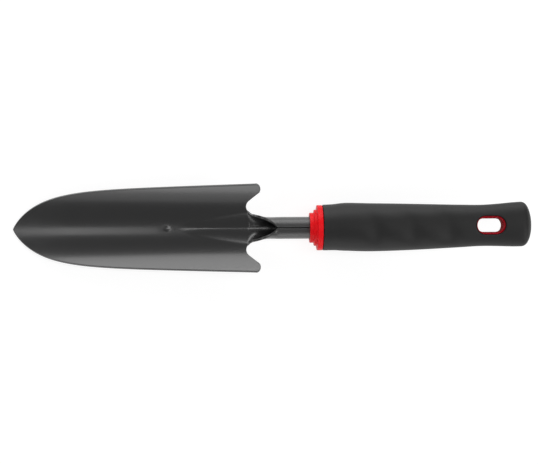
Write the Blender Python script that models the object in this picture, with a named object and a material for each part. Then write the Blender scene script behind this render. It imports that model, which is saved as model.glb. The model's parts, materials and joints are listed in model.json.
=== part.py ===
"""Garden trowel: one pressed steel blade and shank, moulded into a soft-grip handle.

Three bodies: the blade with its rolled shank and tang, the hard core moulded on the tang, and the
soft grip moulded over the core. Nothing moves.

Tool frame, in which the bodies are shaped: X runs along the shank towards the butt and is zero at
the front face of the collar, Z is up with the scoop open upwards, and the shank's axis is Z = 0.
"""
import math

import bmesh
import bpy
import numpy as np
from mathutils import Matrix, Vector

MM = 0.001

# Clearance between bodies that are moulded together
GAP = 0.3 * MM

# Blade, in plan, along the middle of the sheet
SHEET = 1.6 * MM
BLADE_LENGTH = 151.1 * MM
BLADE_WIDTH = 54.0 * MM
NOSE_WIDTH = 45.3 * MM
NOSE_LENGTH = 17.2 * MM
NOSE_POWER = 0.81
EAR_RADIUS = 3.0 * MM
NOTCH_RADIUS = 4.5 * MM
NOTCH_DEPTH = 8.6 * MM

# Blade, in section and from the side
TROUGH_RADIUS_TIP = 36 * MM
TROUGH_RADIUS_REAR = 32 * MM
SWEEP_RADIUS = 900 * MM
SWEEP_SLOPE = 0.045
SWEEP_SOFTNESS = 3 * MM
BLADE_RISE = 0.5 * MM

# Groove that runs from the blade into the shank, and the raised nib ahead of its nose
GROOVE_LENGTH = 41.7 * MM
GROOVE_HALF_WIDTH = 9.9 * MM
GROOVE_SPREAD = 0.55
GROOVE_DEPTH = 1.7 * MM
GROOVE_ONSET = 0.38
GROOVE_NOSE = 1.6
GROOVE_VEE = 0.65
GROOVE_CREASE = 0.04
GROOVE_SOFTNESS = 0.04
NIB_HEIGHT = 0.3 * MM
NIB_LENGTH = 3.3 * MM
NIB_WIDTH = 2.4 * MM
NIB_AHEAD = 7.6 * MM
NIB_FOOT = 0.1 * MM

# Neck, shank and tang
NECK_LENGTH = 19.0 * MM
NECK_HALF_WIDTH = 9.0 * MM
NECK_DELAY = 0.6 * MM
NECK_EASE_FIRST = 1.06
NECK_EASE_LAST = 1.31
NECK_FILL_LAST = 1.75
NECK_FILL_POWER = 1.22
SHANK_DIAMETER = 13.6 * MM
SHANK_LENGTH = 20.2 * MM
SEAM_GAP = 0.5 * MM
TANG_LENGTH = 70 * MM
TANG_ROUND = 42 * MM
TANG_FLATTENING = 16 * MM
TANG_HALF_HEIGHT = 4.0 * MM
TANG_HALF_WIDTH = 7.6 * MM

# Collar: the length and radius of each step
COLLAR_STEPS = [(2.7 * MM, 9.3 * MM), (1.8 * MM, 11.2 * MM), (3.4 * MM, 14.0 * MM)]

# Grip: half width and half height, at places behind the collar's front and ahead of the butt's end
HANDLE_LENGTH = 138.7 * MM
FRONT_PROFILE = [
    (0 * MM, 14.12 * MM, 14.1 * MM),
    (14 * MM, 14.25 * MM, 14.1 * MM),
    (22 * MM, 14.85 * MM, 14.3 * MM),
    (40 * MM, 14.9 * MM, 14.2 * MM),
    (65 * MM, 14.3 * MM, 13.0 * MM),
]
BUTT_PROFILE = [
    (44.7 * MM, 13.25 * MM, 10.6 * MM),
    (31.7 * MM, 12.85 * MM, 9.5 * MM),
    (20.7 * MM, 13.25 * MM, 9.1 * MM),
    (10.7 * MM, 13.85 * MM, 9.3 * MM),
    (0 * MM, 13.95 * MM, 9.3 * MM),
]
GRIP_SQUARENESS_FRONT = 2.0
GRIP_SQUARENESS_BUTT = 2.4
GRIP_WALL = 2.2 * MM
BUTT_DOME = 7.2 * MM
BUTT_ROUND = 2.7
BUTT_POWER = 0.62
SHOULDER_SWAY = 0.45 * MM
SHOULDER_PLACE = 22 * MM
SHOULDER_LENGTH = 10 * MM
BUTT_SWAY = 1.8 * MM
BUTT_LEAN = 0.95 * MM
BUTT_DROP = 1.5 * MM

# Finger grooves across the top and the underside of the grip
FINGER_FIRST = 39.5 * MM
FINGER_PITCH = 22.7 * MM
FINGER_COUNT = 3
FINGER_DEPTH = 1.3 * MM
FINGER_LENGTH = 11 * MM
FINGER_SLANT = math.radians(20)

# Hanging slot: the opening in the grip, and the throat half way down the core
SLOT_AHEAD_OF_BUTT = 26.4 * MM
SLOT_LENGTH = 18.6 * MM
SLOT_WIDTH = 11.7 * MM
THROAT_LENGTH = 16.4 * MM
THROAT_WIDTH = 8.3 * MM
THROAT_HEIGHT = 5 * MM
SLOT_LAND = 0.4 * MM
BOSS_RECESS = 1.2 * MM

# Fineness of the mesh
SHANK_COLUMNS = 9
WING_COLUMNS = 6
RING_POINTS = 32
SLOT_ARC_POINTS = 10
SECTION_SUBSTEPS = 24

# Places that follow from the sizes above
SHEET_RADIUS = (SHANK_DIAMETER - SHEET) / 2
SEAM_X = -SHANK_LENGTH
NOTCH_X = SEAM_X - NECK_LENGTH
EAR_X = NOTCH_X + NOTCH_DEPTH
TIP_X = EAR_X - BLADE_LENGTH
GROOVE_X = NOTCH_X - GROOVE_LENGTH
NIB_X = GROOVE_X - NIB_AHEAD
SLOT_PLACE = HANDLE_LENGTH - SLOT_AHEAD_OF_BUTT
GRIP_PROFILE = FRONT_PROFILE + [
    (HANDLE_LENGTH - ahead, half_width, half_height) for ahead, half_width, half_height in BUTT_PROFILE]
COLLAR_LENGTH = sum(length for length, radius in COLLAR_STEPS)
CLEAR_OF_HANDLE = 5 * MM


def soft_floor(value, softness):
    """The value where it is above zero, else zero, with a rounded corner between them."""
    return (value + math.sqrt(value * value + softness * softness)) / 2


def ease(start, end, place):
    """Rises from 0 at start to 1 at end, level at both."""
    share = min(max((place - start) / (end - start), 0), 1)
    return share * share * (3 - 2 * share)


def blade_half_width(x):
    """Half the plan width of the blade: a full nose, then sides that widen slowly."""
    behind_tip = max(x - TIP_X, 0)
    fill = (1 - math.exp(-behind_tip / NOSE_LENGTH)) ** NOSE_POWER
    width = NOSE_WIDTH + (BLADE_WIDTH - NOSE_WIDTH) * behind_tip / BLADE_LENGTH
    return fill * width / 2


def groove_depth_at(x, y):
    """How far the groove sinks below the trough, less the height of the nib ahead of it."""
    run = max((x - GROOVE_X) / GROOVE_LENGTH, 0)
    half_width = max(GROOVE_HALF_WIDTH * min(run, 1) ** GROOVE_SPREAD, SHEET / 4)
    deepest = GROOVE_DEPTH * (1 - math.exp(-(run / GROOVE_ONSET) ** GROOVE_NOSE))
    out = y / half_width
    vee = math.sqrt(out * out + GROOVE_CREASE ** 2) - GROOVE_CREASE
    across = soft_floor(1 - GROOVE_VEE * vee - (1 - GROOVE_VEE) * out * out, GROOVE_SOFTNESS)
    along_nib = (x - NIB_X) / (NIB_LENGTH / 2)
    across_nib = y / (NIB_WIDTH / 2)
    nib = NIB_HEIGHT * math.exp(-along_nib ** 2 - across_nib ** 2)
    foot = NIB_FOOT * math.exp(-(along_nib / 2) ** 2 - (across_nib / 2.5) ** 2)
    return deepest * across - nib - foot


def blade_height(x, y):
    """Height of the middle of the sheet on the blade: a swept trough with the groove in it."""
    toward_tip = (EAR_X - x) / BLADE_LENGTH
    radius = TROUGH_RADIUS_REAR + (TROUGH_RADIUS_TIP - TROUGH_RADIUS_REAR) * toward_tip
    trough = y * y / (2 * radius)
    ahead = soft_floor(NIB_X - x, SWEEP_SOFTNESS)
    sweep = SWEEP_SLOPE * ahead + ahead ** 2 / (2 * SWEEP_RADIUS)
    return BLADE_RISE + sweep + trough - groove_depth_at(x, y)


def neck_edge(x):
    """Plan distance of the neck's free edge, before it is rolled: the notch, then straight."""
    notch_centre_x = NOTCH_X + NOTCH_RADIUS
    reach = min(x - notch_centre_x, 0)
    return NECK_HALF_WIDTH + NOTCH_RADIUS - math.sqrt(NOTCH_RADIUS ** 2 - reach * reach)


def rolled_section(x, shares):
    """Section of the neck and shank: rolls the blade's own section up into a tube.

    Each share, from 0 at the bottom to 1 at the free edge, gives a point (y, z). The slope and
    the stretch of the section turn from the blade's into the round tube's, the stretch later.
    """
    start = NOTCH_X + NECK_DELAY
    run = min(max((x - start) / (SEAM_X - start), 0), 1)
    rolled = run ** (NECK_EASE_FIRST + (NECK_EASE_LAST - NECK_EASE_FIRST) * ease(0.5, 0.9, run))
    fine = np.linspace(0, 1, SHANK_COLUMNS * SECTION_SUBSTEPS + 1)
    flat_y = fine * neck_edge(x)
    flat_z = np.array([blade_height(x, y) for y in flat_y])
    slope = np.arctan2(np.gradient(flat_z), np.gradient(flat_y))
    stretch = np.hypot(np.gradient(flat_z, fine), np.gradient(flat_y, fine))
    half_turn = math.pi - SEAM_GAP / (2 * SHEET_RADIUS)
    slope = (1 - rolled) * slope + rolled * half_turn * fine
    filled = (ease(0, NECK_FILL_LAST, rolled) / ease(0, NECK_FILL_LAST, 1)) ** NECK_FILL_POWER
    stretch = (1 - filled) * stretch + filled * half_turn * SHEET_RADIUS
    steps = np.stack([stretch * np.cos(slope), stretch * np.sin(slope)])
    middles = (steps[:, 1:] + steps[:, :-1]) / 2 * (fine[1] - fine[0])
    curve = np.concatenate([np.zeros((2, 1)), np.cumsum(middles, axis=1)], axis=1)
    bottom = (1 - rolled) * flat_z[0] - rolled * SHEET_RADIUS
    return [(np.interp(share, fine, curve[0]), bottom + np.interp(share, fine, curve[1]))
            for share in shares]


def tang_half_sizes(x):
    """Half width and half height of the shank's middle line: round, then pressed to an oval."""
    pressed = ease(TANG_ROUND, TANG_ROUND + TANG_FLATTENING, x)
    width = SHEET_RADIUS + (TANG_HALF_WIDTH - SHEET_RADIUS) * pressed
    height = SHEET_RADIUS + (TANG_HALF_HEIGHT - SHEET_RADIUS) * pressed
    return width, height


def shank_section(x, shares):
    """Section of the straight shank and the tang, from the bottom to the seam."""
    width, height = tang_half_sizes(x)
    half_turn = math.pi - SEAM_GAP / (2 * SHEET_RADIUS)
    return [(width * math.sin(half_turn * share), -height * math.cos(half_turn * share))
            for share in shares]


def ear_rear(steps):
    """Plan points of the ear: its inner edge up from the notch, and its rounded end."""
    notch = Vector((NOTCH_X + NOTCH_RADIUS, NECK_HALF_WIDTH + NOTCH_RADIUS))
    end = Vector((EAR_X - EAR_RADIUS, blade_half_width(EAR_X) - EAR_RADIUS))
    span = end - notch
    edge_angle = math.atan2(span.y, span.x) - math.asin((NOTCH_RADIUS + EAR_RADIUS) / span.length)
    outward = Vector((math.sin(edge_angle), -math.cos(edge_angle)))
    first = math.pi - math.radians(10)
    last = edge_angle + math.pi / 2
    arc_steps = steps // 3
    inner = [notch + NOTCH_RADIUS * Vector((math.cos(a), math.sin(a)))
             for a in np.linspace(first, last, arc_steps + 1)]
    line_start = notch - NOTCH_RADIUS * outward
    line_end = end + EAR_RADIUS * outward
    inner += [line_start.lerp(line_end, share) for share in np.linspace(0, 1, steps - arc_steps + 1)[1:]]
    round_end = [end + EAR_RADIUS * Vector((math.cos(a), math.sin(a)))
                 for a in np.linspace(edge_angle - math.pi / 2, math.pi / 2, WING_COLUMNS)]
    return inner, round_end


def grid(rows, columns, place):
    """A grid of faces with its corners moved to place(row, column). Returns mesh and corners."""
    mesh = bmesh.new()
    bmesh.ops.create_grid(mesh, x_segments=rows, y_segments=columns, size=0.5)
    corners = {}
    for vert in mesh.verts:
        corners[round((vert.co.x + 0.5) * rows), round((vert.co.y + 0.5) * columns)] = vert
    for (row, column), vert in corners.items():
        vert.co = place(row, column)
    return mesh, corners


def finish(mesh, name, material):
    """Closes the doubles, turns the faces outwards and makes the object."""
    bmesh.ops.remove_doubles(mesh, verts=mesh.verts, dist=0.00001)
    bmesh.ops.dissolve_degenerate(mesh, edges=mesh.edges, dist=0.00001)
    bmesh.ops.recalc_face_normals(mesh, faces=mesh.faces)
    data = bpy.data.meshes.new(name)
    mesh.to_mesh(data)
    mesh.free()
    data.shade_smooth()
    data.set_sharp_from_angle(angle=math.radians(35))
    data.materials.append(material)
    thing = bpy.data.objects.new(name, data)
    bpy.context.collection.objects.link(thing)
    return thing


def plain_material(name, colour, roughness, metallic=0.0):
    """A Principled BSDF with one linear colour."""
    material = bpy.data.materials.new(name)
    material.use_nodes = True
    shader = material.node_tree.nodes["Principled BSDF"]
    shader.inputs["Base Color"].default_value = (*colour, 1)
    shader.inputs["Roughness"].default_value = roughness
    shader.inputs["Metallic"].default_value = metallic
    return material


def stretches(*parts):
    """Joins stretches of (start, end, steps) into one rising list of places."""
    places = [parts[0][0]]
    for start, end, steps in parts:
        places += [start + (end - start) * (step + 1) / steps for step in range(steps)]
    return places


def make_blade():
    """The pressed sheet: scoop, ears, groove, neck, rolled shank and flattened tang."""
    notch_row_x = NOTCH_X + NOTCH_RADIUS * (1 - math.cos(math.radians(10)))
    tip_end = TIP_X + 2.5 * NOSE_LENGTH
    tip_places = [TIP_X + (tip_end - TIP_X) * (step / 10) ** 2 for step in range(10)]
    blade_places = tip_places + stretches(
        (tip_end, NIB_X - NIB_LENGTH, 4),
        (NIB_X - NIB_LENGTH, NIB_X + NIB_LENGTH, 6),
        (NIB_X + NIB_LENGTH, notch_row_x, 13))
    notch_places = [NOTCH_X + NOTCH_RADIUS * (1 + math.cos(math.radians(angle)))
                    for angle in (210, 230, 250, 270)]
    neck_places = stretches((notch_places[-1], SEAM_X, 8))[1:]
    shank_places = stretches(
        (SEAM_X, TANG_ROUND, 3),
        (TANG_ROUND, TANG_ROUND + TANG_FLATTENING, 5),
        (TANG_ROUND + TANG_FLATTENING, TANG_LENGTH, 1))[1:]
    places = blade_places + notch_places + neck_places + shank_places
    last_blade_row = len(blade_places) - 1
    last_neck_row = last_blade_row + len(notch_places) + len(neck_places)
    ear_steps = 6
    inner, round_end = ear_rear(ear_steps)
    middle = SHANK_COLUMNS + WING_COLUMNS
    notch_half = neck_edge(notch_row_x)
    full_half = blade_half_width(NOTCH_X)
    wing_start = inner[0].y

    def plan_share(column):
        """Plan distance of a column, as a share of the blade's half width."""
        if column <= SHANK_COLUMNS:
            return column / SHANK_COLUMNS * notch_half / full_half
        wing = (column - SHANK_COLUMNS - 1) / (WING_COLUMNS - 1)
        return (wing_start + (full_half - wing_start) * wing) / full_half

    def ear_point(step, column):
        """Plan point of the ear: from its inner edge to its side, bent to its rounded end."""
        wing = (column - SHANK_COLUMNS - 1) / (WING_COLUMNS - 1)
        back = step / ear_steps
        side_x = notch_row_x + (round_end[-1].x - notch_row_x) * back
        side = Vector((side_x, blade_half_width(side_x) if step < ear_steps else round_end[-1].y))
        bend = round_end[column - SHANK_COLUMNS - 1] - inner[-1].lerp(round_end[-1], wing)
        return inner[step].lerp(side, wing) + bend * back * back

    def place(row, column):
        side = 1 if column >= middle else -1
        column = abs(column - middle)
        x = places[row]
        if row <= last_blade_row:
            y = plan_share(column) * blade_half_width(x)
            return Vector((x, side * y, blade_height(x, y)))
        if column > SHANK_COLUMNS:
            point = ear_point(min(row - last_blade_row, ear_steps), column)
            return Vector((point.x, side * point.y, blade_height(point.x, point.y)))
        section = rolled_section if row <= last_neck_row else shank_section
        y, z = section(x, [column / SHANK_COLUMNS])[0]
        return Vector((x, side * y, z))

    mesh, corners = grid(len(places) - 1, 2 * middle, place)
    index = {vert: key for key, vert in corners.items()}
    cut = []
    for face in mesh.faces:
        rows = [index[vert][0] for vert in face.verts]
        columns = [abs(index[vert][1] - middle) for vert in face.verts]
        in_notch = min(rows) >= last_blade_row and min(columns) == SHANK_COLUMNS
        behind_ear = min(rows) >= last_blade_row + ear_steps and min(columns) > SHANK_COLUMNS
        if in_notch or behind_ear:
            cut.append(face)
    bmesh.ops.delete(mesh, geom=cut, context="FACES")
    material = plain_material("black_powder_coated_steel", (0.016, 0.016, 0.017), 0.42)
    blade = finish(mesh, "blade", material)
    wall = blade.modifiers.new("sheet", "SOLIDIFY")
    wall.thickness = SHEET
    wall.offset = 0
    wall.use_even_offset = True
    wall.use_quality_normals = True
    return blade


def smooth_profile(x, item):
    """Reads half width (1) or half height (2) of the grip from a smooth curve through its profile."""
    count = len(GRIP_PROFILE)
    here = max(i for i in range(count - 1) if x >= GRIP_PROFILE[i][0] or i == 0)

    def tangent(i):
        before = GRIP_PROFILE[max(i - 1, 0)]
        after = GRIP_PROFILE[min(i + 1, count - 1)]
        return (after[item] - before[item]) / (after[0] - before[0])

    start, end = GRIP_PROFILE[here], GRIP_PROFILE[here + 1]
    span = end[0] - start[0]
    t = min(max((x - start[0]) / span, 0), 1)
    return (start[item] * (1 + 2 * t) * (1 - t) ** 2 + end[item] * t * t * (3 - 2 * t)
            + span * tangent(here) * t * (1 - t) ** 2 - span * tangent(here + 1) * t * t * (1 - t))


def handle_centre(x):
    """The handle's centre line sways at the shoulder and the butt, and leans back in the butt's dome."""
    share = max(x, 0) / HANDLE_LENGTH
    in_dome = max(x - HANDLE_LENGTH + BUTT_DOME, 0) / BUTT_DOME
    shoulder = SHOULDER_SWAY * math.exp(-((x - SHOULDER_PLACE) / SHOULDER_LENGTH) ** 2)
    sway = shoulder + BUTT_SWAY * share ** 3 - BUTT_LEAN * in_dome ** 2
    return Vector((x, sway, -BUTT_DROP * share ** 2))


def ring(x, half_width, half_height, squareness=2.0, fingers=False):
    """Points of one rounded section of the handle."""
    points = []
    for step in range(RING_POINTS):
        angle = 2 * math.pi * step / RING_POINTS
        across, up = math.cos(angle), math.sin(angle)
        y = half_width * math.copysign(abs(across) ** (2 / squareness), across)
        z = half_height * math.copysign(abs(up) ** (2 / squareness), up)
        if fingers:
            z -= math.copysign(finger_dip(x, y) * abs(up) ** 1.5, up)
        points.append(handle_centre(x) + Vector((0, y, z)))
    return points


def finger_dip(x, y):
    """Depth of the finger grooves, which run across the handle on a slant."""
    dips = 0
    for finger in range(FINGER_COUNT):
        offset = x - FINGER_FIRST - finger * FINGER_PITCH + y * math.tan(FINGER_SLANT)
        dips += math.exp(-(offset / (FINGER_LENGTH / 2)) ** 2)
    return FINGER_DEPTH * dips


def body_rings(places, inset, fingers=False):
    """Rings of the grip's outer shape, or of one that lies inset within it, with the butt's dome."""
    dome_start = HANDLE_LENGTH - BUTT_DOME
    end = HANDLE_LENGTH - inset
    rings = []
    for x in places + [dome_start + (end - dome_start) * share for share in (0.3, 0.55, 0.75, 0.9, 0.98)]:
        beyond = max(x - dome_start, 0) / (end - dome_start)
        shrink = (1 - beyond ** BUTT_ROUND) ** BUTT_POWER
        squareness = GRIP_SQUARENESS_FRONT + (GRIP_SQUARENESS_BUTT - GRIP_SQUARENESS_FRONT) * x / HANDLE_LENGTH
        half_width = (smooth_profile(x, 1) - inset) * shrink
        half_height = (smooth_profile(x, 2) - inset) * shrink
        rings.append(ring(x, half_width, half_height, squareness, fingers))
    rings.append([handle_centre(end)] * RING_POINTS)
    return rings


def loft(name, rings, material):
    """A closed body through rings of equally many points. An end ring may be one point."""
    count = len(rings[0])
    mesh, corners = grid(len(rings) - 1, count, lambda row, column: rings[row][column % count])
    return finish(mesh, name, material)


def stadium(length, width, z):
    """Ring round a slot: two half circles joined by straight sides, at the hanging slot's place."""
    radius = width / 2
    reach = (length - width) / 2
    centre = handle_centre(SLOT_PLACE)
    points = []
    for end in (0, 1):
        for angle in np.linspace(-90, 90, SLOT_ARC_POINTS) + 180 * end:
            turn = math.radians(angle)
            shift = reach if end == 0 else -reach
            points.append(centre + Vector((shift + radius * math.cos(turn), radius * math.sin(turn), z)))
    return points


def prism(name, levels, material):
    """A closed body through stadium rings, each level a (length, width, height)."""
    centre = handle_centre(SLOT_PLACE)
    count = 2 * SLOT_ARC_POINTS
    lowest = [centre + Vector((0, 0, levels[0][2]))] * count
    highest = [centre + Vector((0, 0, levels[-1][2]))] * count
    return loft(name, [lowest] + [stadium(*level) for level in levels] + [highest], material)


def combine(body, other, operation):
    """Cuts or joins another body, which is then only a guide."""
    step = body.modifiers.new(other.name, "BOOLEAN")
    step.operation = operation
    step.object = other
    other.hide_render = True
    other.display_type = "WIRE"


def handle_places(first):
    """Places of the rings of a plain handle body, from its front to the butt's dome."""
    dome_start = HANDLE_LENGTH - BUTT_DOME
    places = [first] + [station[0] for station in GRIP_PROFILE if first + 3 * MM < station[0] < dome_start]
    middles = [(a + b) / 2 for a, b in zip(places, places[1:]) if b - a > 15 * MM]
    return sorted(places + middles) + [dome_start]


def make_core():
    """The hard red core: stepped collar, body under the grip, boss round the slot, tang bore."""
    material = plain_material("red_hard_plastic", (0.60, 0.012, 0.021), 0.35)
    rings = [[Vector((0, 0, 0))] * RING_POINTS]
    x = 0
    for length, radius in COLLAR_STEPS:
        rings.append(ring(x, radius, radius))
        x += length
        rings.append(ring(x, radius, radius))
    rings += body_rings(handle_places(x), GRIP_WALL + GAP)
    core = loft("handle_core", rings, material)

    half_depth = max(station[2] for station in GRIP_PROFILE)
    boss = prism("boss_blank", [
        (SLOT_LENGTH - 2 * GAP, SLOT_WIDTH - 2 * GAP, -half_depth),
        (SLOT_LENGTH - 2 * GAP, SLOT_WIDTH - 2 * GAP, half_depth)], material)
    limit = loft("boss_limit", closed_front(body_rings(handle_places(COLLAR_LENGTH), BOSS_RECESS)), material)
    combine(boss, limit, "INTERSECT")
    combine(core, boss, "UNION")

    face = smooth_profile(SLOT_PLACE, 2)
    rim_length = SLOT_LENGTH - 2 * GAP - 2 * SLOT_LAND
    rim_width = SLOT_WIDTH - 2 * GAP - 2 * SLOT_LAND
    flare = (half_depth - THROAT_HEIGHT / 2) / (face - THROAT_HEIGHT / 2)
    outer_length = THROAT_LENGTH + (rim_length - THROAT_LENGTH) * flare
    outer_width = THROAT_WIDTH + (rim_width - THROAT_WIDTH) * flare
    slot = prism("slot_cutter", [
        (outer_length, outer_width, -half_depth),
        (THROAT_LENGTH, THROAT_WIDTH, -THROAT_HEIGHT / 2),
        (THROAT_LENGTH, THROAT_WIDTH, THROAT_HEIGHT / 2),
        (outer_length, outer_width, half_depth)], material)
    combine(core, slot, "DIFFERENCE")

    bore_rings = []
    bore_places = stretches(
        (-CLEAR_OF_HANDLE, TANG_ROUND, 1),
        (TANG_ROUND, TANG_ROUND + TANG_FLATTENING, 5),
        (TANG_ROUND + TANG_FLATTENING, TANG_LENGTH + GAP, 1))
    clear = SHEET / 2 + GAP
    for x in bore_places:
        width, height = tang_half_sizes(x)
        turns = [2 * math.pi * step / RING_POINTS for step in range(RING_POINTS)]
        bore_rings.append([Vector((x, (width + clear) * math.cos(a), (height + clear) * math.sin(a)))
                           for a in turns])
    bore_rings.insert(0, [Vector((bore_places[0], 0, 0))] * RING_POINTS)
    bore_rings.append([Vector((bore_places[-1], 0, 0))] * RING_POINTS)
    bore = loft("bore_cutter", bore_rings, material)
    combine(core, bore, "DIFFERENCE")
    return core, [boss, limit, slot, bore]


def closed_front(rings):
    """Adds a middle point in front of the first ring, which closes the body there."""
    return [[handle_centre(rings[0][0].x)] * RING_POINTS] + rings


def make_grip():
    """The soft black grip: a skin over the core, with finger grooves and the slot's opening."""
    material = plain_material("black_soft_grip", (0.022, 0.022, 0.023), 0.62)
    front = COLLAR_LENGTH + GAP
    finger_start = FINGER_FIRST - FINGER_LENGTH
    finger_end = FINGER_FIRST + (FINGER_COUNT - 1) * FINGER_PITCH + FINGER_LENGTH
    places = stretches(
        (front, GRIP_PROFILE[2][0], 5),
        (GRIP_PROFILE[2][0], finger_start, 2),
        (finger_start, finger_end, 22),
        (finger_end, HANDLE_LENGTH - BUTT_DOME, 8))
    grip = loft("grip", closed_front(body_rings(places, 0, fingers=True)), material)
    cavity_rings = body_rings(handle_places(COLLAR_LENGTH), GRIP_WALL)
    ahead = Vector((-CLEAR_OF_HANDLE, 0, 0))
    cavity_rings = [[point + ahead for point in cavity_rings[0]]] + cavity_rings
    cavity = loft("cavity_cutter", closed_front(cavity_rings), material)
    combine(grip, cavity, "DIFFERENCE")
    half_depth = max(station[2] for station in GRIP_PROFILE)
    slot = prism("grip_slot_cutter", [
        (SLOT_LENGTH, SLOT_WIDTH, -half_depth),
        (SLOT_LENGTH, SLOT_WIDTH, half_depth)], material)
    combine(grip, slot, "DIFFERENCE")
    return grip, [cavity, slot]


def shape_points(thing):
    """Corners of a body as its modifiers leave it."""
    shaped = thing.evaluated_get(bpy.context.evaluated_depsgraph_get())
    data = shaped.to_mesh()
    points = np.array([vert.co for vert in data.vertices])
    shaped.to_mesh_clear()
    return points


def lay_down(blade, core, grip, guides):
    """Lays the trowel on the ground, scoop upwards, on its blade and its handle."""
    bpy.context.view_layer.update()
    blade_points = shape_points(blade)
    handle_points = np.concatenate([shape_points(core), shape_points(grip)])

    def lowest(points, pitch):
        return (points[:, 2] * math.cos(pitch) + points[:, 0] * math.sin(pitch)).min()

    low, high = math.radians(-20), math.radians(20)
    for _ in range(60):
        pitch = (low + high) / 2
        if lowest(blade_points, pitch) > lowest(handle_points, pitch):
            low = pitch
        else:
            high = pitch
    turn = Matrix.Rotation(-pitch, 3, "Y")
    laid = np.concatenate([blade_points, handle_points]) @ np.array(turn).T
    middle = (laid.min(axis=0) + laid.max(axis=0)) / 2
    trowel = bpy.data.objects.new("trowel", None)
    bpy.context.collection.objects.link(trowel)
    trowel.matrix_world = Matrix.Translation((-middle[0], -middle[1], -laid[:, 2].min())) @ turn.to_4x4()
    for thing in [blade, core, grip] + guides:
        thing.parent = trowel


def main():
    for thing in list(bpy.data.objects):
        bpy.data.objects.remove(thing, do_unlink=True)
    blade = make_blade()
    core, core_guides = make_core()
    grip, grip_guides = make_grip()
    lay_down(blade, core, grip, core_guides + grip_guides)


main()
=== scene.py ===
"""Looks of the garden trowel: pressed and powder-coated steel, a red moulded core, a soft grip."""
import json
import math

import bmesh
import bpy
import numpy as np
from mathutils import Matrix, Vector


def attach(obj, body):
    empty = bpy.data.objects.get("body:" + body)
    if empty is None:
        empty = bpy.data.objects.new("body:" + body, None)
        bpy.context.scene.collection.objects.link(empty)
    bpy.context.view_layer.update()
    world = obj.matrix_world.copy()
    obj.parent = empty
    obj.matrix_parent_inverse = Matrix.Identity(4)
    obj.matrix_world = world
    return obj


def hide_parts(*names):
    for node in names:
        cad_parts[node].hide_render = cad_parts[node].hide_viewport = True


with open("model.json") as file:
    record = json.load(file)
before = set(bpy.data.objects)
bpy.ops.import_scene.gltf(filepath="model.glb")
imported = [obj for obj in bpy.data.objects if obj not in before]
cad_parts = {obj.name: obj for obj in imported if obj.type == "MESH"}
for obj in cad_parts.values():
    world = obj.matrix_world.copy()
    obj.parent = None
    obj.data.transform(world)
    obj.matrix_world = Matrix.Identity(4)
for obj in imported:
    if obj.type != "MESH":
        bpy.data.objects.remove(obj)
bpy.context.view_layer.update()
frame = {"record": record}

MM = 0.001

# Pressed sheet, in plan, along the middle of the sheet
SHEET = 1.6 * MM
BLADE_LENGTH = 151.1 * MM
BLADE_WIDTH = 54.0 * MM
NOSE_WIDTH = 45.3 * MM
EAR_RADIUS = 3.0 * MM
NOTCH_RADIUS = 4.5 * MM
NOTCH_DEPTH = 8.6 * MM
RIM_ROUND = 0.32 * MM
# How soon and how fully the nose widens behind the tip
NOSE_LENGTH = 17.2 * MM
NOSE_POWER = 0.81

# Scoop, in section and from the side: the nose sweeps up ahead of the nib
TROUGH_RADIUS_TIP = 36 * MM
TROUGH_RADIUS_REAR = 32 * MM
SWEEP_RADIUS = 900 * MM
SWEEP_SLOPE = 0.045
SWEEP_SOFTNESS = 3 * MM
BLADE_RISE = 0.5 * MM

# Groove in the rear of the scoop
GROOVE_LENGTH = 41.7 * MM
GROOVE_HALF_WIDTH = 9.9 * MM
GROOVE_LEAST_HALF_WIDTH = SHEET / 4
GROOVE_DEPTH = 1.7 * MM
# How it widens and how it deepens behind its nose
GROOVE_SPREAD = 0.55
GROOVE_ONSET = 0.38
GROOVE_NOSE = 1.6
# Its section: the share that is a V, and how soft the V's bottom and the groove's edges are
GROOVE_VEE = 0.65
GROOVE_CREASE = 0.04
GROOVE_SOFTNESS = 0.04

# Raised nib ahead of the groove's nose, and the low foot that spreads round it
NIB_HEIGHT = 0.3 * MM
NIB_LENGTH = 3.3 * MM
NIB_WIDTH = 2.4 * MM
NIB_AHEAD = 7.6 * MM
NIB_FOOT = 0.1 * MM
NIB_FOOT_SPREAD_ALONG = 2
NIB_FOOT_SPREAD_ACROSS = 2.5

# Neck, from the notch to where its edges meet at the seam
NECK_LENGTH = 19.0 * MM
NECK_HALF_WIDTH = 9.0 * MM
NECK_DELAY = 0.6 * MM
# How it curls up: the power at its start and its end, and the shares of its length between them
NECK_EASE_FIRST = 1.06
NECK_EASE_LAST = 1.31
NECK_EASE_FROM = 0.5
NECK_EASE_TO = 0.9
# How its width takes the tube's size as it curls
NECK_FILL_LAST = 1.75
NECK_FILL_POWER = 1.22

# Shank, and the tang inside the handle, which is pressed to an oval
SHANK_DIAMETER = 13.6 * MM
SHANK_LENGTH = 20.2 * MM
SEAM_GAP = 0.5 * MM
TANG_LENGTH = 70 * MM
TANG_ROUND = 42 * MM
TANG_FLATTENING = 16 * MM
TANG_HALF_HEIGHT = 4.0 * MM
TANG_HALF_WIDTH = 7.6 * MM

# Collar: the length and radius of each step, and the rounding of its edges
COLLAR_STEPS = [(2.7 * MM, 9.3 * MM), (1.8 * MM, 11.2 * MM), (3.4 * MM, 14.0 * MM)]
STEP_ROUND = 0.45 * MM

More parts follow.
